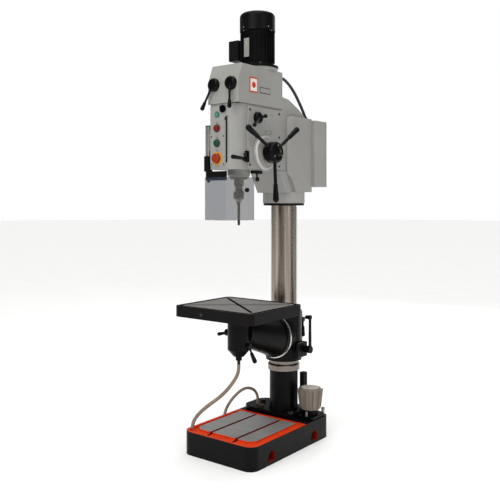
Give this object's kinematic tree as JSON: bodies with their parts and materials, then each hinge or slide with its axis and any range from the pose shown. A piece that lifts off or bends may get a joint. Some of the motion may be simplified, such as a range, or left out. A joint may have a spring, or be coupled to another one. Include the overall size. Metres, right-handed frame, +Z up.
{
  "type": "column drill press",
  "caption": "Floor-standing column drill press with gear head, lifting and tilting table, feed handle, chuck guard and coolant pump on a slotted base.",
  "frame": {"origin": "on the floor plane under the column's axis", "axes": "+Z up along the column, -Y towards the operator, +X on the feed handle's side"},
  "size_m": [0.4391, 0.737, 1.965],
  "materials": {
    "base_casting": "black enamel with machined top faces",
    "column_foot": "semi-gloss black enamel",
    "fixing_screws": "zinc plated",
    "column": "ground steel",
    "rack_ring_lower": "polished",
    "rack_ring_upper": "black enamel",
    "pump_mount": "semi-gloss black enamel",
    "pump_can": "grey-brown enamel",
    "pump_switch_box": "moulded",
    "hose_unions": "zinc plated",
    "return_hose": "smooth hose",
    "motor_cable": "sheath",
    "head_casting": "light grey hammer-free enamel",
    "head_cover": "light grey hammer-free enamel",
    "feed_box_cover": "light grey hammer-free enamel",
    "control_plate": "satin",
    "signal_lamp": "clear lens",
    "electrical_cabinet": "light grey hammer-free enamel",
    "motor_housing": "black enamel",
    "motor_terminal_box": "moulded",
    "fan_cover": "black enamel",
    "guard_post": "black enamel",
    "guard_holder": "black enamel",
    "table_rack": "ground steel",
    "table_bracket": "semi-gloss black enamel",
    "clamp_bolts": "zinc plated",
    "tilt_scale_ring": "polished",
    "drain_hose": "smooth hose",
    "lift_pinion": "ground steel",
    "crank": "black enamel",
    "crank_grip": "moulded",
    "bracket_clamp_lever": "moulded",
    "table_arm": "semi-gloss black enamel",
    "table_clamp_lever": "moulded",
    "tilt_lock_lever": "moulded",
    "table": "black enamel with machined top faces",
    "quill": "ground steel",
    "depth_pointer": "zinc plated",
    "spindle": "ground steel",
    "chuck_body": "polished",
    "drill_bit": "blackened",
    "chuck_sleeve": "polished",
    "spindle_drive_gear": "ground steel",
    "layshaft": "ground steel",
    "motor_rotor": "ground steel",
    "feed_shaft": "ground steel",
    "feed_dial": "turned",
    "feed_hub": "black enamel",
    "feed_grips": "moulded",
    "start_button": "moulded",
    "stop_button": "moulded",
    "estop_button": "moulded",
    "power_switch_knob": "moulded",
    "speed_lever_left": "moulded",
    "speed_lever_right": "moulded",
    "feed_selector_lever": "moulded",
    "quill_lock_lever": "moulded",
    "cabinet_door": "light grey hammer-free enamel",
    "guard_arm": "zinc plated",
    "guard_panel": "clear sheet"
  },
  "bodies": {
    "frame": {"base_casting": "base_casting", "column_foot": "column_foot", "fixing_screws": "fixing_screws", "column": "column", "rack_ring_lower": "rack_ring_lower", "rack_ring_upper": "rack_ring_upper", "pump_mount": "pump_mount", "pump_can": "pump_can", "pump_switch_box": "pump_switch_box", "hose_unions": "hose_unions", "return_hose": "return_hose", "motor_cable": "motor_cable", "head_casting": "head_casting", "head_cover": "head_cover", "feed_box_cover": "feed_box_cover", "control_plate": "control_plate", "signal_lamp": "signal_lamp", "electrical_cabinet": "electrical_cabinet", "motor_housing": "motor_housing", "motor_terminal_box": "motor_terminal_box", "fan_cover": "fan_cover", "guard_post": "guard_post", "guard_holder": "guard_holder"},
    "rack_swing": {"table_rack": "table_rack"},
    "carriage": {"table_bracket": "table_bracket", "clamp_bolts": "clamp_bolts", "tilt_scale_ring": "tilt_scale_ring", "drain_hose": "drain_hose"},
    "lift_pinion": {"lift_pinion": "lift_pinion"},
    "crank": {"crank": "crank"},
    "crank_grip": {"crank_grip": "crank_grip"},
    "bracket_lever": {"bracket_clamp_lever": "bracket_clamp_lever"},
    "arm": {"table_arm": "table_arm"},
    "table_lever": {"table_clamp_lever": "table_clamp_lever"},
    "tilt_lever": {"tilt_lock_lever": "tilt_lock_lever"},
    "table": {"table": "table"},
    "quill": {"quill": "quill", "depth_pointer": "depth_pointer"},
    "spindle": {"spindle": "spindle", "chuck_body": "chuck_body", "drill_bit": "drill_bit"},
    "chuck_sleeve": {"chuck_sleeve": "chuck_sleeve"},
    "drive_gear": {"spindle_drive_gear": "spindle_drive_gear"},
    "layshaft": {"layshaft": "layshaft"},
    "rotor": {"motor_rotor": "motor_rotor"},
    "feed": {"feed_shaft": "feed_shaft", "feed_dial": "feed_dial", "feed_hub": "feed_hub", "feed_grips": "feed_grips"},
    "start_button": {"start_button": "start_button"},
    "stop_button": {"stop_button": "stop_button"},
    "estop_button": {"estop_button": "estop_button"},
    "power_switch": {"power_switch_knob": "power_switch_knob"},
    "speed_lever_left": {"speed_lever_left": "speed_lever_left"},
    "speed_lever_right": {"speed_lever_right": "speed_lever_right"},
    "feed_selector": {"feed_selector_lever": "feed_selector_lever"},
    "quill_lock": {"quill_lock_lever": "quill_lock_lever"},
    "cabinet_door": {"cabinet_door": "cabinet_door"},
    "guard": {"guard_arm": "guard_arm", "guard_panel": "guard_panel"}
  },
  "joints": [
    {"name": "table_swing", "type": "hinge", "parent": "frame", "child": "rack_swing", "pos_m": [0, 0, 0.409], "axis": [0, 0, 1], "range_deg": [-90, 90]},
    {"name": "table_lift", "type": "slide", "parent": "rack_swing", "child": "carriage", "axis": [0, 0, 1], "range_m": [0, 0.335]},
    {"name": "lift_pinion_turn", "type": "hinge", "parent": "carriage", "child": "lift_pinion", "pos_m": [0.0793, 0, 0.409], "axis": [0, 1, 0], "range_deg": [-1605, 0]},
    {"name": "crank_turn", "type": "hinge", "parent": "carriage", "child": "crank", "pos_m": [0.13, 0.032, 0.409], "axis": [1, 0, 0], "range_deg": [-3210, 0]},
    {"name": "crank_grip_spin", "type": "hinge", "parent": "crank", "child": "crank_grip", "pos_m": [0.1135, 0.032, 0.561], "axis": [1, 0, 0], "continuous": true},
    {"name": "bracket_lever_turn", "type": "hinge", "parent": "carriage", "child": "bracket_lever", "pos_m": [0.044, 0.098, 0.536], "axis": [1, 0, 0], "range_deg": [0, 90]},
    {"name": "table_tilt", "type": "hinge", "parent": "carriage", "child": "arm", "pos_m": [0, -0.1, 0.478], "axis": [0, 1, 0], "range_deg": [-45, 45]},
    {"name": "table_lever_turn", "type": "hinge", "parent": "arm", "child": "table_lever", "pos_m": [-0.06, -0.345, 0.524], "axis": [1, 0, 0], "range_deg": [-60, 60]},
    {"name": "tilt_lever_turn", "type": "hinge", "parent": "arm", "child": "tilt_lever", "pos_m": [0.055, -0.345, 0.478], "axis": [1, 0, 0], "range_deg": [-75, 0]},
    {"name": "table_turn", "type": "hinge", "parent": "arm", "child": "table", "pos_m": [0, -0.345, 0.606], "axis": [0, 0, 1], "continuous": true},
    {"name": "quill_feed", "type": "slide", "parent": "frame", "child": "quill", "axis": [0, 0, -1], "range_m": [0, 0.135], "stiffness_N_per_m": 400, "springref_m": -0.4},
    {"name": "feed_turn", "type": "hinge", "parent": "frame", "child": "feed", "pos_m": [0.1, -0.274, 1.323], "axis": [1, 0, 0], "range_deg": [0, 215]},
    {"name": "spindle_spin", "type": "hinge", "parent": "quill", "child": "spindle", "pos_m": [0, -0.345, 1.3], "axis": [0, 0, 1], "continuous": true},
    {"name": "chuck_sleeve_turn", "type": "hinge", "parent": "spindle", "child": "chuck_sleeve", "pos_m": [0, -0.345, 1.137], "axis": [0, 0, 1], "range_deg": [-180, 180]},
    {"name": "motor_spin", "type": "hinge", "parent": "frame", "child": "rotor", "pos_m": [0, -0.208, 1.75], "axis": [0, 0, 1], "continuous": true},
    {"name": "layshaft_spin", "type": "hinge", "parent": "frame", "child": "layshaft", "pos_m": [-0.0196, -0.2778, 1.6], "axis": [0, 0, 1], "continuous": true},
    {"name": "drive_gear_spin", "type": "hinge", "parent": "frame", "child": "drive_gear", "pos_m": [0, -0.345, 1.55], "axis": [0, 0, 1], "continuous": true},
    {"name": "start_press", "type": "slide", "parent": "frame", "child": "start_button", "axis": [0, 1, 0], "range_m": [0, 0.0035], "stiffness_N_per_m": 900},
    {"name": "stop_press", "type": "slide", "parent": "frame", "child": "stop_button", "axis": [0, 1, 0], "range_m": [0, 0.0035], "stiffness_N_per_m": 900},
    {"name": "estop_press", "type": "slide", "parent": "frame", "child": "estop_button", "axis": [0, 1, 0], "range_m": [0, 0.0035], "stiffness_N_per_m": 900},
    {"name": "power_switch_turn", "type": "hinge", "parent": "frame", "child": "power_switch", "pos_m": [-0.002, -0.46, 1.507], "axis": [0, 1, 0], "range_deg": [0, 90]},
    {"name": "speed_left_turn", "type": "hinge", "parent": "frame", "child": "speed_lever_left", "pos_m": [-0.045, -0.47, 1.612], "axis": [0, 1, 0], "range_deg": [-30, 30]},
    {"name": "speed_right_turn", "type": "hinge", "parent": "frame", "child": "speed_lever_right", "pos_m": [0.05, -0.47, 1.612], "axis": [0, 1, 0], "range_deg": [-30, 30]},
    {"name": "feed_selector_turn", "type": "hinge", "parent": "frame", "child": "feed_selector", "pos_m": [0.09, -0.322, 1.474], "axis": [1, 0, 0], "range_deg": [-35, 35]},
    {"name": "quill_lock_turn", "type": "hinge", "parent": "frame", "child": "quill_lock", "pos_m": [0.085, -0.409, 1.291], "axis": [1, 0, 0], "range_deg": [-45, 45]},
    {"name": "cabinet_door_swing", "type": "hinge", "parent": "frame", "child": "cabinet_door", "pos_m": [-0.1232, 0.19, 1.34], "axis": [0, 0, 1], "range_deg": [0, 110]},
    {"name": "guard_swing", "type": "hinge", "parent": "frame", "child": "guard", "pos_m": [-0.092, -0.441, 1.2], "axis": [0, 0, 1], "range_deg": [-110, 0]}
  ],
  "couplings": [
    {"joint": "lift_pinion_turn", "follows": "table_lift", "rad_per_m": -83.333},
    {"joint": "crank_turn", "follows": "table_lift", "rad_per_m": -166.67},
    {"joint": "feed_turn", "follows": "quill_feed", "rad_per_m": 27.778},
    {"joint": "spindle_spin", "follows": "motor_spin", "ratio": 0.25},
    {"joint": "drive_gear_spin", "follows": "motor_spin", "ratio": 0.25},
    {"joint": "layshaft_spin", "follows": "motor_spin", "ratio": -0.45}
  ]
}
